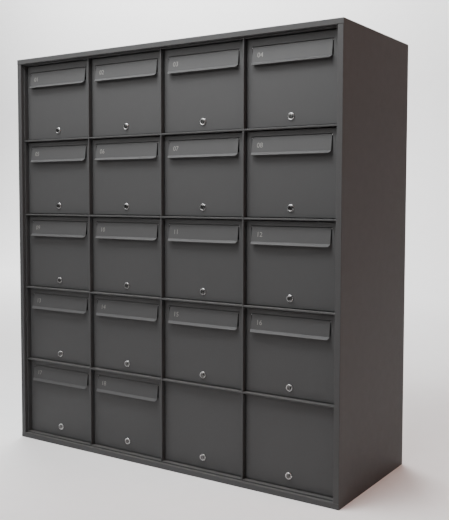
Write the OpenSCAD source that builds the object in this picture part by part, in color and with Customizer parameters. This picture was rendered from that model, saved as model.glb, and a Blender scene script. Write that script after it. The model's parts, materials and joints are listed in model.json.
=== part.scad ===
// Free-standing bank of letter boxes: a folded sheet casing, a grid of compartments set back in it,
// top-hinged doors with letter flaps, and a cam lock in every door.
// Origin: middle of the footprint, on the floor. +X is right seen from the front, +Y is back, +Z is up.

/* [Layout] */
// Number of columns of compartments
columns = 4; // [1:1:6]
// Number of rows of compartments
rows = 5; // [2:1:6]
// Doors without a letter flap, counted back from the lower right corner
plain_doors = 2; // [0:1:4]
// Distance between the middles of neighbouring columns
pitch_x = 280; // [240:1:340]
// Distance between the middles of neighbouring shelves
pitch_z = 238; // [200:1:320]

/* [Casing] */
// Depth from the front flange to the back panel
depth = 436; // [300:1:500]
// Thickness of the casing's sheet
case_t = 1.2; // [1:0.1:1.5]
// Width of the front flange at the two sides
flange_w = 16.5; // [14:0.5:20]
// Height of the front flange at the top and the bottom
flange_h = 15.5; // [14:0.5:20]
// Width of the fold round the back opening
rear_flange = 22; // [18:1:30]
// Radius of the wall-fixing holes
wall_hole_r = 4.5; // [3:0.5:6]
// Distance of the wall-fixing holes from the casing's edges
wall_hole_inset = 78; // [60:1:100]

/* [Grid] */
// Width of the folded front edge of dividers and shelves
edge_w = 5; // [5:0.5:8]
// Depth of that fold
edge_fold = 24; // [20:1:30]
// Thickness of the grid's sheet
grid_t = 1; // [0.8:0.1:1.2]
// Distance of the grid's front edge behind the front flange
grid_setback = 11; // [10.5:0.5:14]
// Width of the outer grid edge left in view beside the flange
edge_reveal = 4; // [3:0.5:4.5]

/* [Doors] */
// Distance of the door faces behind the front flange
door_setback = 24; // [22:0.5:26]
// Thickness of the doors' sheet
door_t = 1.2; // [1:0.1:1.5]
// Depth of the folds round a door
door_fold = 12; // [10:0.5:12]
// Gap beside a door
side_gap = 1.5; // [1:0.1:2.5]
// Gap above a door
top_gap = 2; // [2:0.1:3]
// Gap below a door
bottom_gap = 1.5; // [1:0.1:3]
// Radius of the hinge studs
stud_r = 2; // [1.5:0.1:2.5]

/* [Letter flap] */
// Width of the letter slot
slot_w = 240; // [180:1:244]
// Height of the letter slot
slot_h = 40.5; // [30:0.5:50]
// Top of the slot below the middle of the shelf above
slot_drop = 18.5; // [16:0.5:24]
// Gap round the flap's sides
flap_gap = 2; // [1:0.1:3]
// Angle at which the flap leans out of the door
flap_lean = 8; // [4:0.5:12]
// Length of the leaning plate
flap_plate = 40; // [30:0.5:50]
// Length of the slanted lip below it
flap_lip = 10.5; // [6:0.5:14]
// Angle of the lip from the vertical
lip_slant = 49; // [30:1:60]
// Radius of the flap's lower corners
flap_corner_r = 7; // [3:0.5:9]

/* [Lock] */
// Height of the lock's axis above the middle of the shelf below
lock_rise = 29.5; // [28:0.5:34]
// Radius of the chrome bezel
bezel_r = 9.8; // [9:0.1:11]
// Radius of the turning plug
plug_r = 5.95; // [5:0.05:6.5]
// Length of the cam from the lock's axis
cam_reach = 24; // [20:0.5:25]

/* [Hidden] */
$fn = 48;
height = rows * pitch_z + 46;
width = columns * pitch_x + 36;
y_front = -depth / 2;
y_back = depth / 2;
slack = 0.1;                          // keeps neighbouring welded sheets apart as separate solids
shaft_clearance = 0.05;

z_first = (height - rows * pitch_z) / 2;      // middle line under the lowest row
opening_low = flange_h + edge_reveal;         // lowest edge in view inside the flange
opening_high = height - opening_low;
y_grid = y_front + grid_setback;
flange_fold = grid_setback - slack;           // the flange's fold reaches back to the grid
y_panel = y_back - case_t;                    // front of the back panel
y_grid_end = y_panel - case_t - 2 * slack;    // the grid stops at the rear flanges

y_door = y_front + door_setback;
door_w = pitch_x - edge_w - 2 * side_gap;
hinge_back = 4;                               // hinge axis behind the door's face
hinge_drop = 4.5;                             // hinge axis below the door's top edge
y_hinge = y_door + hinge_back;
stud_reach = 0.3;                             // stud past the far side of the divider's sheet

rod_r = 1.5;
curl_bore_r = rod_r + shaft_clearance;
curl_r = curl_bore_r + door_t;                // outside of the flap's rolled edge
curl_gap = 1;                                 // between the rolled edge and the slot's top
y_rod = y_door + curl_r + shaft_clearance;
rod_drop = slot_drop + curl_gap + curl_r;     // flap axis below the middle of the shelf above
flap_w = slot_w - 2 * flap_gap;
flap_drop = flap_plate * cos(flap_lean) + flap_lip * cos(lip_slant) + door_t;
bracket_x = slot_w / 2 + 1;                   // inner side of the rod's brackets
bracket_t = 1.5;
rod_overhang = 2;

housing_r = 8;
housing_len = 14;                             // housing behind the door's face
bezel_t = 2.6;
nut_flats = 22;
nut_t = 3;
plug_front = 5;                               // plug's face in front of the door's face
plug_bore_r = plug_r + shaft_clearance;
drive_len = 4;                                // square end that carries the cam
drive_side = 6;
cam_t = 1.8;
cam_w = 11;
y_cam = housing_len + 1.2;                    // front of the cam behind the door's face
screw_r = 1.9;
screw_len = 8;
screw_head_r = 3.8;
screw_head_t = 2;
key_slot = [1.4, 7.5, 3];                     // width, length and depth

strike_w = 26;
strike_rise = 16.5;                           // top of the strike above the middle of the shelf
y_strike = y_door + door_fold + 1.4;
strike_t = 1.2;

rivet_head_r = 3.4;
rivet_head_t = 1.2;
rivet_r = 1.6;
rivets_up = 5;
rivets_across = 4;

steel = [0.27, 0.27, 0.28];
steel_side = [0.25, 0.25, 0.25];
chrome = [0.8, 0.8, 0.82];
zinc = [0.6, 0.6, 0.6];

CELLS = [for (r = [1:rows], c = [1:columns]) [r, c]];     // row 1 is the top row
FLAP_CELLS = [for (cell = CELLS) if (has_flap(cell)) cell];

function cell_name(kind, cell) = str(kind, "_r", cell[0], "_c", cell[1]);
function has_flap(cell) = (cell[0] - 1) * columns + cell[1] <= rows * columns - plain_doors;
function cell_x(c) = (c - (columns + 1) / 2) * pitch_x;
function line_x(i) = (i - columns / 2) * pitch_x;          // middle of divider i, from 0 at the left
function line_z(i) = z_first + i * pitch_z;                // middle of shelf i, from 0 at the bottom
function below(r) = line_z(rows - r);
function above(r) = line_z(rows - r + 1);
// lower and upper edge of a row's opening: the outer rows reach to the edges inside the flange
function opening_bottom(r) = r == rows ? opening_low : below(r) + edge_w / 2;
function opening_top(r) = r == 1 ? opening_high : above(r) - edge_w / 2;
function door_bottom(r) = opening_bottom(r) + bottom_gap;
function door_top(r) = opening_top(r) - top_gap;
function hinge_z(r) = door_top(r) - hinge_drop;
function lock_z(r) = below(r) + lock_rise;

// A box from its lowest to its highest corner
module block(low, high) {
    translate(low) cube(high - low);
}

// A cylinder along +Y
module rod_y(r, from, to) {
    translate([0, from, 0]) rotate([-90, 0, 0]) cylinder(r = r, h = to - from);
}

// A cylinder along +X
module rod_x(r, from, to) {
    translate([from, 0, 0]) rotate([0, 90, 0]) cylinder(r = r, h = to - from);
}

// An outline drawn in Y and Z, extruded along +X
module along_x(from, to) {
    translate([from, 0, 0]) rotate([90, 0, 90]) linear_extrude(to - from) children();
}

// ---- casing ----

module top_panel() {
    inner = width / 2 - case_t - slack;
    color(steel) {
        block([-width / 2, y_front, height - case_t], [width / 2, y_panel - slack, height]);
        block([-width / 2, y_front, height - flange_h], [width / 2, y_front + case_t, height]);
        block([-inner, y_front, height - flange_h],
              [inner, y_front + flange_fold, height - flange_h + case_t]);
        difference() {
            block([-inner, y_panel - slack - case_t, height - rear_flange],
                  [inner, y_panel - slack, height]);
            rivet_places() rivet_hole();
        }
    }
}

module bottom_panel() {
    translate([0, 0, height]) mirror([0, 0, 1]) top_panel();
}

module side_panel() {
    seam = 0.3;
    x_in = width / 2 - case_t;
    z_low = flange_h + seam;
    z_high = height - flange_h - seam;
    color(steel_side) {
        block([x_in, y_front + case_t + slack, case_t + slack],
              [width / 2, y_panel - slack, height - case_t - slack]);
        block([x_in, y_front, z_low], [width / 2, y_front + 2 * case_t, z_high]);
        block([width / 2 - flange_w, y_front, z_low], [width / 2, y_front + case_t, z_high]);
        block([width / 2 - flange_w, y_front, z_low],
              [width / 2 - flange_w + case_t, y_front + flange_fold, z_high]);
        difference() {
            block([width / 2 - rear_flange, y_panel - slack - case_t, rear_flange + slack],
                  [width / 2, y_panel - slack, height - rear_flange - slack]);
            rivet_places() rivet_hole();
        }
    }
}

module back_panel() {
    rim = 0.5;
    color(steel) difference() {
        block([-width / 2 + rim, y_panel, rim], [width / 2 - rim, y_back, height - rim]);
        rivet_places() rivet_hole();
        for (x = [-1, 1], z = [wall_hole_inset, height - wall_hole_inset])
            translate([x * (width / 2 - wall_hole_inset), 0, z])
                rod_y(wall_hole_r, y_panel - 1, y_back + 1);
    }
}

// Places of the rivets round the back panel, which run through it and the rear flanges
module rivet_places() {
    inset = rear_flange / 2;
    up = (height - rear_flange * 4) / (rivets_up - 1);
    for (x = [-1, 1], i = [0:rivets_up - 1])
        translate([x * (width / 2 - inset), 0, rear_flange * 2 + i * up]) children();
    for (z = [inset, height - inset], i = [0:rivets_across - 1])
        translate([(i / (rivets_across - 1) - 0.5) * (width - rear_flange * 6), 0, z]) children();
}

module rivet_hole() {
    rod_y(rivet_r + shaft_clearance, y_panel - 2 * case_t, y_back + 1);
}

module rivet() {
    color(zinc) {
        rod_y(rivet_r, y_panel - 2 * case_t - slack, y_back);
        rod_y(rivet_head_r, y_panel - slack - case_t - rivet_head_t, y_panel - case_t - 2 * slack);
    }
}

module carcass() {
    top_panel();
    bottom_panel();
    side_panel();
    mirror([1, 0, 0]) side_panel();
    back_panel();
    rivet_places() rivet();
}

// ---- grid ----

// Upright divider: a hollow front edge, one side of which runs on to the back as the wall
module divider(i) {
    half = edge_w / 2;
    flip = i == columns ? 1 : 0;
    color(steel) difference() {
        translate([line_x(i), 0, case_t + slack]) mirror([flip, 0, 0])
            linear_extrude(height - 2 * (case_t + slack)) polygon([
                [-half, y_grid], [half, y_grid], [half, y_grid_end], [half - grid_t, y_grid_end],
                [half - grid_t, y_grid + grid_t], [-half + grid_t, y_grid + grid_t],
                [-half + grid_t, y_grid + edge_fold], [-half, y_grid + edge_fold]
            ]);
        for (r = [1:rows])
            translate([line_x(i), y_hinge, hinge_z(r)])
                rod_x(stud_r + shaft_clearance, -edge_w, edge_w);
    }
}

// Side view of a shelf whose floor is its upper face, with the hollow front edge reaching down
module shelf_outline(edge_h) {
    polygon([
        [y_grid, 0], [y_grid_end, 0], [y_grid_end, -grid_t], [y_grid + grid_t, -grid_t],
        [y_grid + grid_t, -edge_h + grid_t], [y_grid + edge_fold, -edge_h + grid_t],
        [y_grid + edge_fold, -edge_h], [y_grid, -edge_h]
    ]);
}

module shelf(c, edge_h) {
    left = cell_x(c) - (pitch_x - edge_w) / 2 + slack;
    right = cell_x(c) + (pitch_x - edge_w) / 2 - slack;
    reach = c == columns ? 0 : edge_w - grid_t;
    color(steel) {
        along_x(left, right) shelf_outline(edge_h);
        block([right - 1, y_grid + edge_fold + 2 * slack, -grid_t], [right + reach, y_grid_end, 0]);
    }
}

// The plate behind the door that the lock's cam turns down behind
module strike(r, c) {
    low = opening_bottom(r) + slack;
    corner = 3;
    color(steel) translate([cell_x(c), y_strike, 0])
        rotate([90, 0, 0]) mirror([0, 0, 1]) linear_extrude(strike_t) {
            translate([-strike_w / 2, low]) square([strike_w, below(r) + strike_rise - corner - low]);
            translate([-strike_w / 2 + corner, low])
                square([strike_w - 2 * corner, below(r) + strike_rise - low]);
            for (x = [-1, 1])
                translate([x * (strike_w / 2 - corner), below(r) + strike_rise - corner]) circle(corner);
        }
}

module partition_grid() {
    outer_edge = edge_reveal + 3;
    for (i = [0:columns]) divider(i);
    for (c = [1:columns]) {
        for (i = [1:rows - 1]) translate([0, 0, line_z(i) + edge_w / 2]) shelf(c, edge_w);
        translate([0, 0, opening_low]) shelf(c, outer_edge);
        translate([0, 0, opening_high]) mirror([0, 0, 1]) shelf(c, outer_edge);
        for (r = [1:rows]) strike(r, c);
    }
}

// ---- doors ----

// Folded door: face, four folds, hinge studs, and the slot and rod brackets of a letter flap
module door_pan(r, flap) {
    half = door_w / 2;
    low = door_bottom(r);
    high = door_top(r);
    slot_top = above(r) - slot_drop;
    difference() {
        union() {
            block([-half, y_door, low], [half, y_door + door_t, high]);
            block([-half, y_door, low], [half, y_door + door_fold, low + door_t]);
            block([-half, y_door, high - door_t], [half, y_door + door_fold, high]);
            for (side = [0, 1]) mirror([side, 0, 0]) {
                block([half - door_t, y_door, low], [half, y_door + door_fold, high]);
                translate([0, y_hinge, hinge_z(r)])
                    rod_x(stud_r, half - door_t, half + side_gap + grid_t + stud_reach);
                if (flap)
                    difference() {
                        block([bracket_x, y_door, above(r) - rod_drop - 5],
                              [bracket_x + bracket_t, y_rod + 5, above(r) - rod_drop + 5]);
                        translate([0, y_rod, above(r) - rod_drop])
                            rod_x(curl_bore_r, bracket_x - 1, bracket_x + bracket_t + 1);
                    }
            }
        }
        translate([0, y_door, lock_z(r)]) rod_y(housing_r + slack, -1, door_t + 1);
        if (flap)
            block([-slot_w / 2, y_door - 1, slot_top - slot_h],
                  [slot_w / 2, y_door + door_t + 1, slot_top]);
    }
}

module flap_rod(r) {
    end = bracket_x + bracket_t + rod_overhang;
    translate([0, y_rod, above(r) - rod_drop]) rod_x(rod_r, -end, end);
}

// Fixed part of the lock, turned about Y: bezel in front of the door, barrel through it
module lock_housing() {
    edge = 1.2;                        // rounding of the bezel's rim
    face = -bezel_t;
    rotate([90, 0, 0]) mirror([0, 0, 1]) rotate_extrude() {
        polygon([
            [plug_bore_r, face], [bezel_r - edge, face], [bezel_r - edge, face + edge],
            [bezel_r, face + edge], [bezel_r, -shaft_clearance], [housing_r, -shaft_clearance],
            [housing_r, housing_len], [plug_bore_r, housing_len]
        ]);
        intersection() {
            translate([bezel_r - edge, face + edge]) circle(edge);
            translate([bezel_r - edge, face]) square(edge);
        }
    }
}

module lock_nut() {
    difference() {
        rotate([-90, 0, 0]) translate([0, 0, door_t + shaft_clearance])
            cylinder(d = nut_flats / cos(30), h = nut_t, $fn = 6);
        rod_y(housing_r + shaft_clearance, 0, housing_len);
    }
}

module door(cell) {
    r = cell[0];
    translate([cell_x(cell[1]), 0, 0]) {
        color(steel) door_pan(r, has_flap(cell));
        if (has_flap(cell)) color(zinc) flap_rod(r);
        translate([0, y_door, lock_z(r)]) {
            color(chrome) lock_housing();
            color(zinc) lock_nut();
        }
    }
}

// ---- letter flap ----

// Side view of the flap about its rod: rolled edge, leaning plate, slanted lip (x is outwards, y is up)
module flap_outline() {
    plate_out = [cos(flap_lean), sin(flap_lean)];         // square to the plate, outwards
    lip_out = [cos(lip_slant), sin(lip_slant)];
    top = curl_r * plate_out;
    bend = top + flap_plate * [sin(flap_lean), -cos(flap_lean)];
    tip = bend + flap_lip * [sin(lip_slant), -cos(lip_slant)];
    bend_back = bend - door_t * (plate_out + lip_out) / (1 + plate_out * lip_out);
    difference() {
        union() {
            circle(curl_r);
            polygon([top, bend, tip, tip - door_t * lip_out, bend_back, top - door_t * plate_out]);
        }
        circle(curl_bore_r);
    }
}

// Front view of the flap, with rounded lower corners
module flap_front() {
    half = flap_w / 2;
    difference() {
        translate([-half, -flap_drop]) square([flap_w, flap_drop + curl_r]);
        for (side = [0, 1]) mirror([side, 0])
            translate([half - flap_corner_r, -flap_drop]) difference() {
                square(flap_corner_r + 1);
                translate([0, flap_corner_r]) circle(flap_corner_r);
                translate([-1, flap_corner_r]) square(flap_corner_r + 3);
            }
    }
}

module flap(cell) {
    translate([cell_x(cell[1]), y_rod, above(cell[0]) - rod_drop])
        color(steel) intersection() {
            mirror([0, 1, 0]) along_x(-flap_w / 2, flap_w / 2) flap_outline();
            translate([0, curl_r + 1, 0]) rotate([90, 0, 0]) linear_extrude(flap_plate) flap_front();
        }
}

// ---- lock ----

module lock_plug() {
    difference() {
        union() {
            rod_y(plug_r, -plug_front, housing_len + 2 * slack);
            block([-drive_side / 2, housing_len, -drive_side / 2],
                  [drive_side / 2, housing_len + drive_len, drive_side / 2]);
        }
        block([-key_slot[0] / 2, -plug_front - 1, -key_slot[1] / 2],
              [key_slot[0] / 2, -plug_front + key_slot[2], key_slot[1] / 2]);
        rod_y(screw_r + shaft_clearance, housing_len + drive_len - screw_len, housing_len + drive_len + 1);
    }
}

// Cam: points to +X while unlocked and turns down to lock
module lock_cam() {
    hole = drive_side / 2 + shaft_clearance;
    difference() {
        union() {
            rod_y(cam_w / 2, y_cam, y_cam + cam_t);
            block([0, y_cam, -cam_w / 2], [cam_reach, y_cam + cam_t, cam_w / 2]);
        }
        block([-hole, y_cam - 1, -hole], [hole, y_cam + cam_t + 1, hole]);
    }
}

module cam_screw() {
    seat = housing_len + drive_len + slack / 2;
    rod_y(screw_r, seat - screw_len, seat);
    rod_y(screw_head_r, seat, seat + screw_head_t);
}

module lock(cell) {
    translate([cell_x(cell[1]), y_door, lock_z(cell[0])]) {
        color(chrome) lock_plug();
        color(zinc) lock_cam();
        color(zinc) cam_screw();
    }
}

carcass();
partition_grid();
for (cell = CELLS) {
    door(cell);
    lock(cell);
}
for (cell = FLAP_CELLS)
    flap(cell);
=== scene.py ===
import json
import math

import bmesh
import bpy
from mathutils import Matrix, Vector
from mathutils.geometry import tessellate_polygon


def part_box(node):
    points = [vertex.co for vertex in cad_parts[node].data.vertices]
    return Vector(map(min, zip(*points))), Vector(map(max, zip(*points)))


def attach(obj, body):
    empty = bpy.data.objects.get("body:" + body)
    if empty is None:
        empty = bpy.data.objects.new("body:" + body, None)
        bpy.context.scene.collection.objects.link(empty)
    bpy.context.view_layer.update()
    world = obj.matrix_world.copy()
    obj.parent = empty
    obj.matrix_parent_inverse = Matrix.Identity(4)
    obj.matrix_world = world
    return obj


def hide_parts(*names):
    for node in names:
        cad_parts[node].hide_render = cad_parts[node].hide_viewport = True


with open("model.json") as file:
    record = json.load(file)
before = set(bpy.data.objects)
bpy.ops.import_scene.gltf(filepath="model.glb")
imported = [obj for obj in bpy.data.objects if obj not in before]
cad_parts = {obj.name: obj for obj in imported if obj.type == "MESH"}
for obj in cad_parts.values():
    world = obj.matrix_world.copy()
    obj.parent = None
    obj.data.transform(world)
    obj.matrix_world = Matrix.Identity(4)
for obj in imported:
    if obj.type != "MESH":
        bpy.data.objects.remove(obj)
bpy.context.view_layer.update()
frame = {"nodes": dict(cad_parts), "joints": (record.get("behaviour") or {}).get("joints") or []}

# A bank of letter boxes: folded sheet casing, grid of compartments, top-hinged doors with letter
# flaps, cam locks. Shapes are worked out in millimetres and become metres when a mesh is made.
MM = 0.001


def in_mm(point):
    return Vector(point) / MM


def cad_size(node):
    """Lowest and highest corner of a CAD node, in millimetres."""
    return tuple(in_mm(corner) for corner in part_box(node))


# ---- places and sizes taken from the frame ----

JOINT_AT = {joint["name"]: in_mm(joint["pos_m"]) for joint in frame["joints"]}
CELLS = sorted(tuple(int(part[1:]) for part in name.split("_")[1:])
               for name in frame["nodes"] if name.startswith("lock_"))
ROWS = max(row for row, _ in CELLS)
COLUMNS = max(column for _, column in CELLS)


def cell_name(kind, cell):
    return f"{kind}_r{cell[0]}_c{cell[1]}"


def lock_at(cell):
    """The lock's axis where it meets the door's face."""
    return JOINT_AT[cell_name("lock_turn", cell)]


CASE_LOW, CASE_HIGH = cad_size("carcass")
GRID_LOW, GRID_HIGH = cad_size("partition_grid")
WIDTH = CASE_HIGH.x - CASE_LOW.x
HEIGHT = CASE_HIGH.z
PITCH_X = lock_at((1, 2)).x - lock_at((1, 1)).x
PITCH_Z = lock_at((1, 1)).z - lock_at((2, 1)).z
FLAP_CELLS = [cell for cell in CELLS if cell_name("flap", cell) in frame["nodes"]]
FLAP_LOW, FLAP_HIGH = cad_size(cell_name("flap", FLAP_CELLS[0]))

# ---- sheet and hardware sizes, in millimetres ----

CASE_T = 1.2
GRID_T = 1.0
DOOR_T = 1.2
SLACK = 0.1  # between sheets that are joined
FIT = 0.05  # between hardware that fits in or on something
SEAM = 0.3
EDGE_ROUNDING = 0.25

FLANGE_W = 16.5
FLANGE_H = 15.5
FLANGE_FOLD = GRID_LOW.y - CASE_LOW.y - SLACK
REAR_FLANGE = 22
WALL_HOLE_R = 4.5
WALL_HOLE_INSET = 78
RIVET_R = 1.6
RIVET_HEAD_R = 3.4
RIVET_HEAD_T = 1.2
RIVETS_UP = 5
RIVETS_ACROSS = 4

EDGE_W = 5
EDGE_FOLD = 24
OUTER_EDGE = 7
OPENING_LOW = 19.5

LOCK_RISE = 29.5
DOOR_FOLD = 12
DOOR_CORNER = 2.2
DOOR_GAP = 1.5
STUD_R = 2
STUD_REACH = 2.8
STRIKE_W = 26
STRIKE_RISE = 16.5
STRIKE_GAP = 1.4
STRIKE_T = 1.2

FLAP_HALF_W = (FLAP_HIGH.x - FLAP_LOW.x) / 2
FLAP_GAP = 2
SLOT_HALF_W = FLAP_HALF_W + FLAP_GAP
FLAP_LEAN = math.radians(8)
FLAP_PLATE = 40
FLAP_LIP = 10.5
LIP_SLANT = math.radians(49)
FLAP_CORNER_R = 7
FLAP_BEND_R = 1.4
ROD_R = 1.5
CURL_BORE_R = 1.55
CURL_R = CURL_BORE_R + DOOR_T
CURL_GAP = 1
CURL_START = -150  # degrees: where the rolled edge begins
SLOT_H = 40.5
SLOT_CORNER = 1.5
BRACKET_T = 1.5
BRACKET_HALF = 5
BRACKET_X = SLOT_HALF_W + 1
ROD_OVERHANG = 2

BEZEL_R = 9.8
BEZEL_T = 2.6
HOUSING_R = 8
HOUSING_LEN = 14
PLUG_R = 5.95
PLUG_FRONT = 5
NUT_FLATS = 22
NUT_T = 3
DRIVE_SIDE = 6
DRIVE_LEN = 4
CAM_AT = HOUSING_LEN + 1.2
CAM_T = 1.8
CAM_W = 11
CAM_REACH = 24
SCREW_HEAD_R = 3.8
SCREW_HEAD_T = 2
KEY_W, KEY_H, KEY_DEPTH = 1.4, 7.5, 3

NUMBER_SIZE = 19
NUMBER_T = 0.04
NUMBER_IN, NUMBER_DOWN = 25, 21  # from the flap's left side and from its rod


# ---- mesh building: points in millimetres, faces as lists of point numbers ----

class Solid:
    """Closed shapes gathered into one mesh."""

    def __init__(self):
        self.points = []
        self.faces = []

    def ring(self, points):
        first = len(self.points)
        self.points += [Vector(p) for p in points]
        return list(range(first, len(self.points)))

    def bridge(self, a, b):
        for i in range(len(a)):
            j = (i + 1) % len(a)
            self.faces.append([a[i], a[j], b[j], b[i]])

    def cap(self, *rings):
        """Fills a flat outline that may have holes."""
        numbers = [number for ring in rings for number in ring]
        loops = [[self.points[number] for number in ring] for ring in rings]
        self.faces += [[numbers[i] for i in triangle] for triangle in tessellate_polygon(loops)]

    def loft(self, rings, closed=False):
        """Joins rings one after another, and closes the two ends or joins last to first."""
        made = [self.ring(ring) for ring in rings]
        for a, b in zip(made, made[1:]):
            self.bridge(a, b)
        if closed:
            self.bridge(made[-1], made[0])
        else:
            self.faces += [made[0], made[-1]]
        return self

    def add(self, other, matrix=None):
        first = len(self.points)
        self.points += [matrix @ p if matrix else p for p in other.points]
        self.faces += [[first + number for number in face] for face in other.faces]
        return self

    def mesh(self, name, smooth_below=42):
        """A smooth-shaded Blender mesh in metres whose faces all look outwards."""
        mesh = bpy.data.meshes.new(name)
        mesh.from_pydata([p * MM for p in self.points], [], self.faces)
        shape = bmesh.new()
        shape.from_mesh(mesh)
        bmesh.ops.dissolve_degenerate(shape, dist=1e-7, edges=shape.edges)
        bmesh.ops.recalc_face_normals(shape, faces=shape.faces)
        shape.to_mesh(mesh)
        shape.free()
        mesh.shade_smooth()
        mesh.set_sharp_from_angle(angle=math.radians(smooth_below))
        return mesh


def arc(centre, radius, start, end, steps):
    """Points on an arc in the plane, angles in degrees."""
    angles = [math.radians(start + (end - start) * i / steps) for i in range(steps + 1)]
    return [(centre[0] + radius * math.cos(a), centre[1] + radius * math.sin(a)) for a in angles]


def circle(centre, radius, steps=24):
    return arc(centre, radius, 0, 360 * (steps - 1) / steps, steps - 1)


def rounded_box(low, high, radius, steps=3):
    """Outline of a rectangle with round corners."""
    corners = [(high[0] - radius, low[1] + radius, -90), (high[0] - radius, high[1] - radius, 0),
               (low[0] + radius, high[1] - radius, 90), (low[0] + radius, low[1] + radius, 180)]
    return [p for x, y, start in corners for p in arc((x, y), radius, start, start + 90, steps)]


def inset(outline, amount):
    """Moves an anticlockwise outline inwards, and a clockwise one outwards."""
    moved = []
    for i, here in enumerate(outline):
        here = Vector(here)
        before = (here - Vector(outline[i - 1])).normalized()
        after = (Vector(outline[(i + 1) % len(outline)]) - here).normalized()
        normals = Vector((-before.y, before.x)), Vector((-after.y, after.x))
        moved.append(here + amount * (normals[0] + normals[1]) / (1 + normals[0].dot(normals[1])))
    return moved


def plate(outline, holes, front, back, rounding=EDGE_ROUNDING):
    """A flat sheet that stands in X and Z, from front to back in Y, with softened edges."""
    solid = Solid()
    levels = [(front, rounding), (front + rounding, 0), (back - rounding, 0), (back, rounding)]
    walls = []
    for loop in [outline] + [hole[::-1] for hole in holes]:
        rings = [solid.ring([(x, y, z) for x, z in inset(loop, shrink)]) for y, shrink in levels]
        for a, b in zip(rings, rings[1:]):
            solid.bridge(a, b)
        walls.append(rings)
    solid.cap(*[rings[0] for rings in walls])
    solid.cap(*[rings[-1] for rings in walls])
    return solid


def bent_path(corners, radius, steps=5):
    """A polyline with round bends. Gives (point, normal) rows; the normal is left of the travel."""
    corners = [Vector(c) for c in corners]
    rows = []
    for i, here in enumerate(corners):
        before = (here - corners[i - 1]).normalized() if i else None
        after = (corners[i + 1] - here).normalized() if i + 1 < len(corners) else None
        before, after = before or after, after or before
        turn = before.angle_signed(after, 0)
        left = Vector((-before.y, before.x))
        if abs(turn) < 1e-4:
            rows.append((here, left))
            continue
        side = -1 if turn > 0 else 1
        reach = radius * math.tan(abs(turn) / 2)
        centre = here - before * reach + left * side * radius
        for step in range(steps + 1):
            spin = Matrix.Rotation(-turn * step / steps, 2)
            normal = spin @ left
            rows.append((centre - normal * side * radius, normal))
    return rows


# Share of the rounding by which the middle of a softened corner lies in from both faces.
CORNER_MIDDLE = 0.27


def strip(rows, thickness, span, along, rounding=EDGE_ROUNDING):
    """A bent sheet: a rectangle with softened corners, swept along the rows.
    span gives the sheet's two sides at a row's point, along puts (u, v, w) in place."""
    def section(shrink, low, high):
        half = thickness / 2 - shrink
        mid = rounding * CORNER_MIDDLE
        low, high = low + shrink, high - shrink
        soft = max(rounding - shrink, 0.02)
        return [(half - soft, low), (half - mid, low + mid), (half, low + soft),
                (half, high - soft), (half - mid, high - mid), (half - soft, high),
                (soft - half, high), (mid - half, high - mid), (-half, high - soft),
                (-half, low + soft), (mid - half, low + mid), (soft - half, low)]

    def place(point, normal, shrink):
        low, high = span(point)
        return [along(point + normal * off, w) for off, w in section(shrink, low, high)]

    rings = []
    last = len(rows) - 1
    for i, (point, normal) in enumerate(rows):
        inward = Vector((normal.y, -normal.x))
        if i == 0:
            rings += [place(point, normal, rounding), place(point + inward * rounding, normal, 0)]
        elif i == last:
            rings += [place(point - inward * rounding, normal, 0), place(point, normal, rounding)]
        else:
            rings.append(place(point, normal, 0))
    return Solid().loft(rings)


def along_x(point, w):
    return Vector((w, point[0], point[1]))


def along_z(point, w):
    return Vector((point[0], point[1], w))


def turned(profile, steps=40, hollow=False):
    """A profile of (radius, place along Y) turned about the Y axis."""
    rings = []
    for radius, y in profile:
        angles = [2 * math.pi * i / steps for i in range(steps)]
        rings.append([(radius * math.cos(a), y, radius * math.sin(a)) for a in angles])
    return Solid().loft(rings, closed=hollow)


def x_rod(radius, low, high, rounding=0.3, steps=16):
    profile = [(radius - rounding, low), (radius, low + rounding),
               (radius, high - rounding), (radius - rounding, high)]
    return Solid().add(turned(profile, steps), Matrix.Rotation(-math.pi / 2, 3, "Z"))


def mirrored(solid, axis, middle=0.0):
    """The solid seen in a mirror that stands across an axis (0 is X, 2 is Z)."""
    flipped = Solid()
    flipped.faces = [list(face) for face in solid.faces]
    for point in solid.points:
        twin = point.copy()
        twin[axis] = 2 * middle - point[axis]
        flipped.points.append(twin)
    return flipped


def piece(name, mesh, at, body, node):
    """Shows a mesh in millimetre place `at`, moving with a body in place of a CAD node."""
    shown = bpy.data.objects.new(name, mesh)
    bpy.context.scene.collection.objects.link(shown)
    shown.location = Vector(at) * MM
    weighted = shown.modifiers.new("weighted_normals", "WEIGHTED_NORMAL")
    weighted.keep_sharp = True
    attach(shown, body)
    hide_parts(node)


# ---- materials ----

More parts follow.
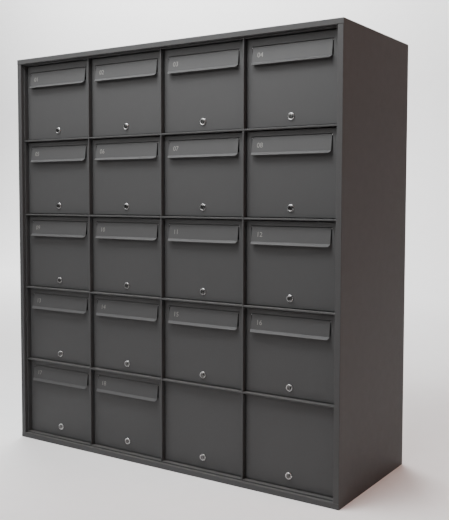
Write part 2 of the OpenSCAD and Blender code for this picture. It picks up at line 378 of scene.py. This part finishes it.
class Graph:
    """Short ways to make and join shader nodes."""

    def __init__(self, name):
        self.material = bpy.data.materials.new(name)
        self.material.use_nodes = True
        self.tree = self.material.node_tree
        self.shader = self.tree.nodes["Principled BSDF"]
        self.place = self.spread_place()

    def node(self, kind, inputs=None, **settings):
        made = self.tree.nodes.new(kind)
        for key, value in settings.items():
            setattr(made, key, value)
        for key, value in (inputs or {}).items():
            if isinstance(value, bpy.types.NodeSocket):
                self.tree.links.new(value, made.inputs[key])
            else:
                made.inputs[key].default_value = value
        return made

    def spread_place(self):
        """Object coordinates, shifted from piece to piece so that no two look alike."""
        random = self.node("ShaderNodeObjectInfo").outputs["Random"]
        shift = self.node("ShaderNodeMath", {0: random, 1: 7.0}, operation="MULTIPLY")
        moved = self.node("ShaderNodeVectorMath", {0: self.node("ShaderNodeTexCoord").outputs["Object"],
                                                   1: shift.outputs[0]}, operation="ADD")
        return moved.outputs[0]

    def noise(self, size_mm, detail=2.0, roughness=0.5):
        """Noise whose grains are about size_mm across."""
        return self.node("ShaderNodeTexNoise", {"Vector": self.place, "Scale": 1 / (size_mm * MM),
                                                "Detail": detail, "Roughness": roughness}).outputs["Fac"]

    def spread(self, value, low, high, start=0.3, end=0.7):
        """Maps a noise value onto low..high."""
        return self.node("ShaderNodeMapRange", {"Value": value, "From Min": start, "From Max": end,
                                                "To Min": low, "To Max": high}).outputs["Result"]

    def mix(self, share, a, b):
        mixed = self.node("ShaderNodeMix", {"Factor": share}, data_type="RGBA")
        for socket, value in ((mixed.inputs[6], a), (mixed.inputs[7], b)):
            if isinstance(value, bpy.types.NodeSocket):
                self.tree.links.new(value, socket)
            else:
                socket.default_value = (*value, 1)
        return mixed.outputs[2]

    def product(self, a, b):
        return self.node("ShaderNodeMath", {0: a, 1: b}, operation="MULTIPLY").outputs[0]

    def bump(self, layers):
        """Bumps stacked on one another, each a (height, depth in mm) pair."""
        normal = None
        for height, depth in layers:
            inputs = {"Height": height, "Distance": depth * MM, "Strength": 1.0}
            if normal:
                inputs["Normal"] = normal
            normal = self.node("ShaderNodeBump", inputs).outputs["Normal"]
        return normal

    def finish(self, **inputs):
        for key, value in inputs.items():
            socket = self.shader.inputs[key.replace("_", " ")]
            if isinstance(value, bpy.types.NodeSocket):
                self.tree.links.new(value, socket)
            else:
                socket.default_value = value
        return self.material


def powder_coat(name, colour, gloss=0.58):
    """Satin powder coat: orange peel, fine pigment grain, cloudy gloss, handling marks, and dust with
    painted light on up-facing faces.
    """
    g = Graph(name)
    peel = g.noise(1.4, detail=1.5)
    grain = g.noise(0.35, detail=1.0)
    cloud = g.noise(90, detail=3.0)
    smudge = g.noise(28, detail=4.0, roughness=0.65)
    up = g.node("ShaderNodeSeparateXYZ", {0: g.node("ShaderNodeTexCoord").outputs["Normal"]}).outputs["Z"]
    # Up-facing faces get a lighter grey in noisy patches: partly dust, partly painted light from above on
    # tops, ledges and lips.
    dust_and_top_light = g.product(g.spread(up, 0, 0.35, 0.75, 1.0), g.spread(g.noise(14, detail=5.0), 0.4, 1.0))
    dark, light = [tuple(c * share for c in colour) for share in (0.9, 1.1)]
    pigment = g.mix(g.spread(grain, 0, 1, 0.35, 0.65), dark, light)
    faded = g.mix(g.spread(cloud, 0, 0.07), pigment, tuple(c * 1.35 for c in colour))
    # Mixes in the lighter grey of dust and painted top light on up-facing faces.
    dusted_and_top_lit = g.mix(dust_and_top_light, faded, (0.15, 0.147, 0.14))
    rough = g.node("ShaderNodeMath", {0: g.spread(smudge, gloss - 0.02, gloss + 0.03),
                                      1: g.spread(dust_and_top_light, 0, 0.25, 0, 1)}, operation="ADD").outputs[0]
    normal = g.bump([(peel, 0.03), (grain, 0.006)])
    return g.finish(Base_Color=dusted_and_top_lit, Roughness=rough, Normal=normal, Specular_IOR_Level=0.3)


def plated_metal(name, dark=(0.44, 0.44, 0.45), light=(0.54, 0.54, 0.53), rough=0.22):
    """Plated zinc die casting between a dark and a light tint, with polishing marks and a haze."""
    g = Graph(name)
    haze = g.noise(3, detail=3.0)
    marks = g.noise(0.25, detail=2.0)
    tint = g.mix(g.spread(haze, 0, 1), dark, light)
    return g.finish(Base_Color=tint, Metallic=1.0, Roughness=g.spread(haze, rough, rough + 0.1),
                    Normal=g.bump([(marks, 0.002)]))


def dull_zinc(name):
    """Zinc-plated steel: grey, softly mottled, with drawing marks."""
    g = Graph(name)
    mottle = g.noise(2.2, detail=4.0)
    marks = g.noise(0.3, detail=2.0)
    tint = g.mix(g.spread(mottle, 0, 1), (0.42, 0.43, 0.44), (0.62, 0.62, 0.6))
    return g.finish(Base_Color=tint, Metallic=1.0, Roughness=g.spread(mottle, 0.32, 0.5),
                    Normal=g.bump([(marks, 0.006)]))


def printed_ink(name):
    """Pale printed numerals, a little worn, over the orange peel of the coat."""
    g = Graph(name)
    wear = g.noise(1.1, detail=4.0)
    tint = g.mix(g.spread(wear, 0, 1, 0.4, 0.6), (0.13, 0.13, 0.12), (0.195, 0.192, 0.176))
    return g.finish(Base_Color=tint, Roughness=g.spread(wear, 0.45, 0.6), Normal=g.bump([(wear, 0.01)]))


GREY = (0.0435, 0.0435, 0.0437)
CASING_PAINT = powder_coat("casing_paint", GREY, gloss=0.62)
GRID_PAINT = powder_coat("grid_paint", tuple(c * 0.95 for c in GREY))
DOOR_PAINT = powder_coat("door_paint", GREY, gloss=0.56)
# The flap's paint is the door grey made 8 percent lighter: painted light, standing for the extra light
# the flap's lean catches.
FLAP_PAINT_WITH_PAINTED_LIGHT = powder_coat("flap_paint", tuple(c * 1.08 for c in GREY), gloss=0.56)
CHROME = plated_metal("chrome")
# The plug's metal is tinted near black: a painted dark reflection that gives the lock its dark centre.
PLUG_METAL_PAINTED_DARK = plated_metal("plug_metal_painted_dark", (0.09, 0.09, 0.09), (0.14, 0.14, 0.135), 0.22)
ZINC = dull_zinc("zinc_plate")
INK = printed_ink("number_print")


def painted(solid, name, material):
    mesh = solid.mesh(name)
    mesh.materials.append(material)
    return mesh


# ---- casing ----

FOLD_R = 0.9
Y_BACK_SHEET = CASE_HIGH.y - CASE_T
SIDE_INNER = WIDTH / 2 - CASE_T - SLACK
Y_WALL_START = CASE_LOW.y + CASE_T + FOLD_R


def lid_span(point):
    """The lid runs over the side walls, but its lower fold and rear flange stop inside them."""
    over_walls = point[1] > HEIGHT - CASE_T - SLACK or point[0] < CASE_LOW.y + CASE_T + FIT
    half = WIDTH / 2 if over_walls else SIDE_INNER
    return -half, half


def make_lid():
    """Top of the casing: front flange with its return, lid, rear flange. Mirrored for the floor."""
    half = CASE_T / 2
    front, rear = CASE_LOW.y + half, Y_BACK_SHEET - SLACK - half
    top, flange = HEIGHT - half, HEIGHT - FLANGE_H + half
    corners = [(front + FLANGE_FOLD - half, flange), (front, flange), (front, top),
               (rear, top), (rear, HEIGHT - REAR_FLANGE)]
    return strip(bent_path(corners, FOLD_R), CASE_T, lid_span, along_x)


def wall_span(point):
    """The side wall is full height. Its front flange and return stop under the lid's flange, and
    its rear flange stops inside the lid's."""
    past_bend, past_return = 1.5, 1
    off_wall = point[0] < WIDTH / 2 - CASE_T - past_bend
    near_front = point[1] < CASE_LOW.y + FLANGE_FOLD + past_return
    if point[1] < Y_WALL_START or (off_wall and near_front):
        stop = FLANGE_H + SEAM
    elif off_wall:
        stop = REAR_FLANGE + SLACK
    else:
        stop = CASE_T + SLACK
    return stop, HEIGHT - stop


def make_wall():
    """Right side of the casing: rear flange, wall, front flange with its return. The sheet's
    height changes between the two points of a pair: one in the rear flange, one in the wall."""
    half = CASE_T / 2
    x, front, rear = WIDTH / 2 - half, CASE_LOW.y + half, Y_BACK_SHEET - SLACK - half
    flange = WIDTH / 2 - FLANGE_W + half
    rear_pair = [(x - 2.2, rear), (x - 1.9, rear)]
    front_pair = [(x, Y_WALL_START + 0.2), (x, Y_WALL_START - 0.1)]
    corners = ([(WIDTH / 2 - REAR_FLANGE, rear)] + rear_pair + [(x, rear)] + front_pair
               + [(x, front), (flange, front), (flange, front + FLANGE_FOLD - half)])
    return strip(bent_path(corners, FOLD_R), CASE_T, wall_span, along_z)


def rivet_places():
    margin = REAR_FLANGE / 2
    up = (HEIGHT - REAR_FLANGE * 4) / (RIVETS_UP - 1)
    across = (WIDTH - REAR_FLANGE * 6) / (RIVETS_ACROSS - 1)
    sides = [(side * (WIDTH / 2 - margin), REAR_FLANGE * 2 + i * up)
             for side in (-1, 1) for i in range(RIVETS_UP)]
    rows = [((i - (RIVETS_ACROSS - 1) / 2) * across, z)
            for z in (margin, HEIGHT - margin) for i in range(RIVETS_ACROSS)]
    return sides + rows


def make_back():
    rim = 0.5
    outline = rounded_box((rim - WIDTH / 2, rim), (WIDTH / 2 - rim, HEIGHT - rim), 1.5)
    holes = [circle((side * (WIDTH / 2 - WALL_HOLE_INSET), z), WALL_HOLE_R)
             for side in (-1, 1) for z in (WALL_HOLE_INSET, HEIGHT - WALL_HOLE_INSET)]
    holes += [circle(place, RIVET_R + FIT, 16) for place in rivet_places()]
    return plate(outline, holes, Y_BACK_SHEET, CASE_HIGH.y)


def make_rivets():
    """Blind rivets: flat outside with the dimple of the drawn mandrel, a domed bead inside."""
    inner = Y_BACK_SHEET - CASE_T - 2 * SLACK
    outer = CASE_HIGH.y
    soft, chamfer, dimple = 0.3, 0.1, 0.5
    bead = [(0.3, inner - RIVET_HEAD_T), (2.2, inner - RIVET_HEAD_T + soft),
            (RIVET_HEAD_R, inner - soft), (RIVET_HEAD_R - soft, inner)]
    shank = [(RIVET_R, inner), (RIVET_R, outer - chamfer), (RIVET_R - chamfer, outer)]
    mandrel = [(0.9, outer), (0.75, outer - dimple), (0.2, outer - dimple)]
    profile = bead + shank + mandrel
    rivets = Solid()
    for x, z in rivet_places():
        rivets.add(turned(profile, 20), Matrix.Translation((x, 0, z)))
    return rivets


def cabinet_piece(name, solid, node, material):
    piece(name, painted(solid, name, material), (0, 0, 0), "cabinet", node)


def build_casing():
    lid, wall = make_lid(), make_wall()
    shells = {"casing_top": lid, "casing_bottom": mirrored(lid, 2, HEIGHT / 2),
              "casing_right": wall, "casing_left": mirrored(wall, 0), "back_panel": make_back()}
    for name, solid in shells.items():
        cabinet_piece(name, solid, "carcass", CASING_PAINT)
    cabinet_piece("back_rivets", make_rivets(), "carcass", ZINC)


# ---- grid of compartments ----

GRID_FOLD_R = 0.8
OPENING_HIGH = HEIGHT - OPENING_LOW


def divider_x(i):
    return (i - COLUMNS / 2) * PITCH_X


def shelf_z(i):
    """Middle of a shelf's front edge, counted from the floor of the lowest row."""
    return lock_at((ROWS, 1)).z - LOCK_RISE + i * PITCH_Z


def make_divider(i):
    """A wall with a folded front edge that turns back on the far side. The doors' hinge studs
    pass through it: it has no holes for them here, as they would be out of sight."""
    half = (EDGE_W - GRID_T) / 2
    front = GRID_LOW.y + GRID_T / 2
    corners = [(-half, GRID_LOW.y + EDGE_FOLD), (-half, front), (half, front), (half, GRID_HIGH.y)]
    rows = bent_path(corners, GRID_FOLD_R)
    sheet = strip(rows, GRID_T, lambda point: (GRID_LOW.z, GRID_HIGH.z), along_z)
    upright = mirrored(sheet, 0) if i == COLUMNS else sheet
    return Solid().add(upright, Matrix.Translation((divider_x(i), 0, 0)))


def make_shelf(column, edge_h, reach):
    """A shelf whose floor is its upper face, at height 0, with a folded front edge below it."""
    half = GRID_T / 2
    x = lock_at((1, column)).x
    side = (PITCH_X - EDGE_W) / 2 - SLACK
    front = GRID_LOW.y + half
    fold_end = GRID_LOW.y + EDGE_FOLD
    widen_start, widen_end = 0.3, 0.6
    corners = [(fold_end, half - edge_h), (front, half - edge_h), (front, -half),
               (fold_end + widen_start, -half), (fold_end + widen_end, -half),
               (GRID_HIGH.y, -half)]

    def span(point):
        behind_edge = point[0] > fold_end + (widen_start + widen_end) / 2
        return x - side, x + side + (reach if behind_edge else 0)

    return strip(bent_path(corners, GRID_FOLD_R), GRID_T, span, along_x)


def make_strike(column, low, high):
    """Angle plate behind a door's lower edge: the lock's cam turns down behind it."""
    x = lock_at((1, column)).x
    face = lock_at((1, 1)).y + DOOR_FOLD + STRIKE_GAP
    corner, foot = 3, 14
    half = STRIKE_W / 2
    y, z = face + STRIKE_T / 2, low + STRIKE_T / 2 + FIT
    corners = [(face + foot, z), (y, z), (y, high)]

    def span(point):
        drop = max(0, point[1] - (high - corner))
        shrink = corner - math.sqrt(max(corner ** 2 - drop ** 2, 0))
        return x - half + shrink, x + half - shrink

    rows = bent_path(corners, 1.2)
    point, normal = rows.pop()
    rows += [(Vector((point.x, high - corner * (1 - math.sin(math.radians(a))))), normal)
             for a in (0, 20, 40, 58, 74)]
    return strip(rows, STRIKE_T, span, along_x)


def build_grid():
    for i in range(COLUMNS + 1):
        cabinet_piece(f"divider_{i}", make_divider(i), "partition_grid", GRID_PAINT)
    for column in range(1, COLUMNS + 1):
        reach = EDGE_W - GRID_T if column < COLUMNS else 0
        for i in range(ROWS + 1):
            if i == ROWS:
                solid, floor = mirrored(make_shelf(column, OUTER_EDGE, reach), 2), OPENING_HIGH
            else:
                solid = make_shelf(column, EDGE_W if i else OUTER_EDGE, reach)
                floor = shelf_z(i) + EDGE_W / 2 if i else OPENING_LOW
            shelf = Solid().add(solid, Matrix.Translation((0, 0, floor)))
            if i < ROWS:
                shelf.add(make_strike(column, floor, shelf_z(i) + STRIKE_RISE))
            cabinet_piece(f"shelf_{i}_c{column}", shelf, "partition_grid", GRID_PAINT)


# ---- doors ----

def make_pan(half, low, high, holes):
    """Door with rounded folds all round: face at Y 0, open at the back. Holes go through the face."""
    fold_r, inner_r = 1.6, 0.4
    turns = [0, 22, 45, 68, 90]
    outside = [(fold_r * (1 - math.sin(math.radians(a))), fold_r * (1 - math.cos(math.radians(a))))
               for a in turns]
    inside = [(DOOR_T + inner_r * (1 - math.sin(math.radians(a))),
               DOOR_T + inner_r * (1 - math.cos(math.radians(a)))) for a in reversed(turns)]
    soft = EDGE_ROUNDING
    rim = [(0, DOOR_FOLD - soft), (soft, DOOR_FOLD),
           (DOOR_T - soft, DOOR_FOLD), (DOOR_T, DOOR_FOLD - soft)]
    solid = Solid()
    rings = []
    for shrink, y in outside + rim + inside:
        outline = rounded_box((shrink - half, low + shrink), (half - shrink, high - shrink),
                              DOOR_CORNER - shrink)
        rings.append(solid.ring([(x, y, z) for x, z in outline]))
    for a, b in zip(rings, rings[1:]):
        solid.bridge(a, b)
    levels = [(0, soft), (soft, 0), (DOOR_T - soft, 0), (DOOR_T, soft)]
    walls = [[solid.ring([(x, y, z) for x, z in inset(hole[::-1], shrink)]) for y, shrink in levels]
             for hole in holes]
    for wall in walls:
        for a, b in zip(wall, wall[1:]):
            solid.bridge(a, b)
    solid.cap(rings[0], *[wall[0] for wall in walls])
    solid.cap(rings[-1], *[wall[-1] for wall in walls])
    return solid


def make_door(low, high, hinge, rod):
    """Door panel about the lock's axis on the door's face: pan, hinge studs, and the brackets of
    the flap's rod where rod, the flap's axis, isn't None."""
    half = (PITCH_X - EDGE_W) / 2 - DOOR_GAP
    holes = [circle((0, 0), HOUSING_R + SLACK, 32)]
    if rod:
        slot_top = rod.z + CURL_R + CURL_GAP
        slot_low = slot_top - SLOT_H
        holes.append(rounded_box((-SLOT_HALF_W, slot_low), (SLOT_HALF_W, slot_top), SLOT_CORNER))
    door = make_pan(half, low, high, holes)
    for side in (-1, 1):
        stud = x_rod(STUD_R, half - DOOR_T, half + STUD_REACH)
        if side < 0:
            stud = mirrored(stud, 0)
        door.add(stud, Matrix.Translation((0, hinge.y, hinge.z)))
        if rod:
            door.add(make_bracket(side * BRACKET_X, side, rod))
    return door


def make_bracket(x, side, rod):
    """Upright tab on the door's inner face with a bore for the flap's rod."""
    reach = rod.y + BRACKET_HALF - DOOR_T
    tab = rounded_box((-BRACKET_HALF, DOOR_T), (BRACKET_HALF, DOOR_T + reach), 1.2)
    bore = circle((0, rod.y), CURL_BORE_R, 16)
    sheet = plate(tab, [bore], 0, BRACKET_T, 0.15)
    stand = Solid()
    for point in sheet.points:
        stand.points.append(Vector((x + side * point.y, point.z, rod.z + point.x)))
    stand.faces = sheet.faces
    return stand


def make_flap():
    """Letter flap about its rod: rolled edge, leaning plate, slanted lip with round corners."""
    half_t = DOOR_T / 2
    curl = CURL_R - half_t
    down = Vector((-math.sin(FLAP_LEAN), -math.cos(FLAP_LEAN)))
    out = Vector((-math.cos(FLAP_LEAN), math.sin(FLAP_LEAN)))
    lip = Vector((-math.sin(LIP_SLANT), -math.cos(LIP_SLANT)))
    lip_out = Vector((-math.cos(LIP_SLANT), math.sin(LIP_SLANT)))
    bend = out * CURL_R + down * FLAP_PLATE
    tip = bend + lip * FLAP_LIP - lip_out * half_t
    mitre = (out + lip_out) / (1 + out.dot(lip_out))
    bend -= mitre * half_t
    below_tip = 0.4
    lowest = tip.y - below_tip

    roll = [(Vector(p), -Vector(p).normalized())
            for p in arc((0, 0), curl, CURL_START, 180 - math.degrees(FLAP_LEAN), 22)]
    straight = bent_path([roll[-1][0], bend, tip], FLAP_BEND_R)[1:]
    lip_steps = 8
    sheet = straight[:-1] + [(straight[-2][0].lerp(tip, i / lip_steps), straight[-1][1])
                             for i in range(1, lip_steps + 1)]

    def span(point):
        rise = FLAP_CORNER_R - max(0.0, point.y - lowest)
        shrink = 0.0
        if rise > 0:
            shrink = FLAP_CORNER_R - math.sqrt(max(FLAP_CORNER_R ** 2 - rise ** 2, 0.0))
        return -FLAP_HALF_W + shrink, FLAP_HALF_W - shrink

    return strip(roll + sheet, DOOR_T, span, along_x, rounding=0.2)


def make_rod():
    reach = BRACKET_X + BRACKET_T + ROD_OVERHANG
    return x_rod(ROD_R, -reach, reach)


# ---- locks ----

def make_housing():
    """Bezel with a rounded rim and a dished face in front, barrel behind."""
    bore = PLUG_R + FIT
    rim_r = 1.4
    rim = [(BEZEL_R - rim_r + rim_r * math.cos(math.radians(a)),
            -BEZEL_T + rim_r - rim_r * math.sin(math.radians(a))) for a in (90, 68, 45, 22, 0)]
    dish = [(bore, -BEZEL_T + 0.7), (bore + 0.3, -BEZEL_T + 0.4), (bore + 1.1, -BEZEL_T + 0.25)]
    back = [(BEZEL_R, -0.25), (BEZEL_R - 0.2, -FIT)]
    barrel = [(HOUSING_R, -FIT), (HOUSING_R, HOUSING_LEN - 0.4), (HOUSING_R - 0.4, HOUSING_LEN),
              (bore, HOUSING_LEN)]
    return turned(dish + rim + back + barrel, 48, hollow=True)


def make_nut():
    """Hexagon nut on the barrel, behind the door's face."""
    outer = NUT_FLATS / 2 / math.cos(math.radians(30))
    hexagon = [(outer * math.cos(math.radians(60 * i)), outer * math.sin(math.radians(60 * i)))
               for i in range(6)]
    bore = circle((0, 0), HOUSING_R + FIT, 32)
    front = DOOR_T + FIT
    return plate(hexagon, [bore], front, front + NUT_T, 0.35)


def make_plug():
    """Plug with a domed edge and a sunk key slot in front, square drive behind."""
    edge = 0.5
    profile = [(PLUG_R - edge + edge * math.cos(math.radians(a)),
                -PLUG_FRONT + edge - edge * math.sin(math.radians(a))) for a in (90, 60, 30, 0)]
    solid = Solid()
    angles = [2 * math.pi * i / 40 for i in range(40)]
    rings = [solid.ring([(r * math.cos(a), y, r * math.sin(a)) for a in angles])
             for r, y in profile + [(PLUG_R, HOUSING_LEN), (PLUG_R - 0.2, HOUSING_LEN + 0.2)]]
    for a, b in zip(rings, rings[1:]):
        solid.bridge(a, b)
    solid.faces.append(rings[-1])
    key = rounded_box((-KEY_W / 2, -KEY_H / 2), (KEY_W / 2, KEY_H / 2), 0.3, 2)[::-1]
    levels = [(-PLUG_FRONT, 0.2), (-PLUG_FRONT + 0.2, 0), (-PLUG_FRONT + KEY_DEPTH, 0)]
    walls = [solid.ring([(x, y, z) for x, z in inset(key, shrink)]) for y, shrink in levels]
    for a, b in zip(walls, walls[1:]):
        solid.bridge(a, b)
    solid.cap(rings[0], walls[0])
    solid.faces.append(walls[-1])
    side = DRIVE_SIDE / 2
    drive = plate(rounded_box((-side, -side), (side, side), 0.4), [],
                  HOUSING_LEN + 0.2, HOUSING_LEN + DRIVE_LEN, 0.3)
    return solid.add(drive)


def make_cam():
    """Cam with a round hub and a round tip, pointing to +X, and the screw that holds it."""
    half, tip = CAM_W / 2, 3.0
    outline = (arc((CAM_REACH - tip, -half + tip), tip, -90, 0, 4)
               + arc((CAM_REACH - tip, half - tip), tip, 0, 90, 4) + arc((0, 0), half, 90, 270, 12))
    hole = DRIVE_SIDE / 2 + FIT
    square = rounded_box((-hole, -hole), (hole, hole), 0.4)
    cam = plate(outline, [square], CAM_AT, CAM_AT + CAM_T, 0.2)
    seat = HOUSING_LEN + DRIVE_LEN + FIT
    head = [(SCREW_HEAD_R - 0.2, seat), (SCREW_HEAD_R, seat + 0.3), (SCREW_HEAD_R, seat + 1.0),
            (SCREW_HEAD_R - 0.5, seat + 1.6), (2.6, seat + SCREW_HEAD_T), (1.9, seat + SCREW_HEAD_T),
            (1.2, seat + SCREW_HEAD_T - 1.2), (0.2, seat + SCREW_HEAD_T - 1.4)]
    return cam.add(turned(head, 24))


def make_number(text):
    """Two printed digits, as a thin layer facing -Y, with their middle at the origin."""
    digits = bpy.data.curves.new("digits", "FONT")
    digits.body = text
    digits.size = NUMBER_SIZE * MM
    digits.align_x, digits.align_y = "CENTER", "CENTER"
    digits.extrude = NUMBER_T * MM
    digits.resolution_u = 4
    holder = bpy.data.objects.new("digits", digits)
    bpy.context.scene.collection.objects.link(holder)
    shown = holder.evaluated_get(bpy.context.evaluated_depsgraph_get())
    mesh = bpy.data.meshes.new_from_object(shown)
    mesh.name = f"number_{text}"
    mesh.transform(Matrix.Rotation(math.pi / 2 - FLAP_LEAN, 4, "X"))
    mesh.materials.clear()
    mesh.materials.append(INK)
    bpy.data.objects.remove(holder)
    return mesh


def build_compartments():
    door_meshes = {}
    flap_mesh = painted(make_flap(), "flap_panel", FLAP_PAINT_WITH_PAINTED_LIGHT)
    rod_mesh = painted(make_rod(), "flap_rod", ZINC)
    housing_mesh = painted(make_housing(), "lock_housing", CHROME)
    nut_mesh = painted(make_nut(), "lock_nut", ZINC)
    plug_mesh = painted(make_plug(), "lock_plug", PLUG_METAL_PAINTED_DARK)
    cam_mesh = painted(make_cam(), "lock_cam", ZINC)
    for cell in CELLS:
        door, flap, lock = [cell_name(kind, cell) for kind in ("door", "flap", "lock")]
        tag = cell_name("", cell)
        at = lock_at(cell)
        low, high = [corner.z - at.z for corner in cad_size(door)]
        hinge = JOINT_AT[cell_name("door_hinge", cell)] - at
        rod_at = JOINT_AT.get(cell_name("flap_hinge", cell))
        kind = (round(low, 2), round(high, 2), rod_at is not None)
        if kind not in door_meshes:
            solid = make_door(low, high, hinge, rod_at and rod_at - at)
            door_meshes[kind] = painted(solid, "door_panel", DOOR_PAINT)
        piece("door_panel" + tag, door_meshes[kind], at, door, door)
        piece("lock_housing" + tag, housing_mesh, at, door, door)
        piece("lock_nut" + tag, nut_mesh, at, door, door)
        piece("lock_plug" + tag, plug_mesh, at, lock, lock)
        piece("lock_cam" + tag, cam_mesh, at, lock, lock)
        if rod_at:
            piece("flap_rod" + tag, rod_mesh, rod_at, door, door)
            piece("flap_panel" + tag, flap_mesh, rod_at, flap, flap)
            out = Vector((0, -math.cos(FLAP_LEAN), math.sin(FLAP_LEAN)))
            down = Vector((0, -math.sin(FLAP_LEAN), -math.cos(FLAP_LEAN)))
            spot = rod_at + out * (CURL_R + 0.03) + down * NUMBER_DOWN
            spot.x += FLAP_LOW.x - lock_at(FLAP_CELLS[0]).x + NUMBER_IN
            number = make_number(f"{FLAP_CELLS.index(cell) + 1:02d}")
            piece("number" + tag, number, spot, flap, flap)


build_casing()
build_grid()
build_compartments()


# ---- floor, light and camera ----

def stage_floor():
    """A pale floor that curves up into a wall far behind the object."""
    wide, near, far, tall, bend = 12.0, -7.0, 6.0, 9.0, 2.0
    profile = [(near, 0.0)] + [(far - bend + bend * math.sin(a), bend - bend * math.cos(a))
                               for a in [math.radians(6 * i) for i in range(16)]] + [(far, tall)]
    points = [(x, y, z) for y, z in profile for x in (-wide, wide)]
    faces = [(2 * i, 2 * i + 1, 2 * i + 3, 2 * i + 2) for i in range(len(profile) - 1)]
    mesh = bpy.data.meshes.new("floor")
    mesh.from_pydata(points, [], faces)
    mesh.shade_smooth()
    floor = bpy.data.objects.new("floor", mesh)
    bpy.context.scene.collection.objects.link(floor)
    g = Graph("floor_paper")
    mottle = g.noise(60, detail=3.0)
    mesh.materials.append(g.finish(Base_Color=g.mix(mottle, (0.84, 0.84, 0.84), (0.88, 0.88, 0.88)),
                                   Roughness=0.85))


def area_light(name, at, target, size, power, colour=(1, 1, 1), spread=180):
    lamp = bpy.data.lights.new(name, "AREA")
    lamp.shape = "RECTANGLE"
    lamp.size, lamp.size_y = size
    lamp.energy = power
    lamp.spread = math.radians(spread)
    lamp.color = colour
    holder = bpy.data.objects.new(name, lamp)
    bpy.context.scene.collection.objects.link(holder)
    holder.location = at
    holder.rotation_euler = (Vector(target) - Vector(at)).to_track_quat("-Z", "Y").to_euler()


def studio():
    world = bpy.data.worlds.new("studio")
    bpy.context.scene.world = world
    world.use_nodes = True
    background = world.node_tree.nodes["Background"]
    background.inputs["Color"].default_value = (0.96, 0.97, 1.0, 1)
    background.inputs["Strength"].default_value = 0.105
    area_light("key", (-1.2, -2.3, 2.3), (-0.1, -0.2, 1.15), (2.0, 1.5), 14, (1.0, 0.995, 0.985), 90)
    area_light("overhead", (-0.2, -0.9, 2.35), (0.0, -0.25, 1.2), (2.0, 0.6), 29, (0.98, 0.99, 1.0), 110)
    area_light("lip_light", (-0.5, -0.36, 2.5), (-0.3, -0.22, 0.9), (2.0, 0.3), 15, (0.99, 0.99, 1.0))
    area_light("side_fill", (2.6, -0.1, 2.6), (0, 0, HEIGHT * MM / 2), (1.6, 1.2), 36, (1.0, 0.5, 0.37))
    area_light("backdrop_wash", (-4.2, 3.4, 6.0), (-4.2, 6.0, 1.2), (6.0, 1.6), 1000)


def camera():
    lens = bpy.data.cameras.new("camera")
    lens.lens = 56.25
    lens.shift_x, lens.shift_y = -0.0022, -0.0265
    holder = bpy.data.objects.new("camera", lens)
    bpy.context.scene.collection.objects.link(holder)
    holder.location = (1.4529, -2.0623, 0.7934)
    holder.rotation_euler = [math.radians(a) for a in (86.577, -0.114, 33.505)]
    bpy.context.scene.camera = holder


stage_floor()
studio()
camera()
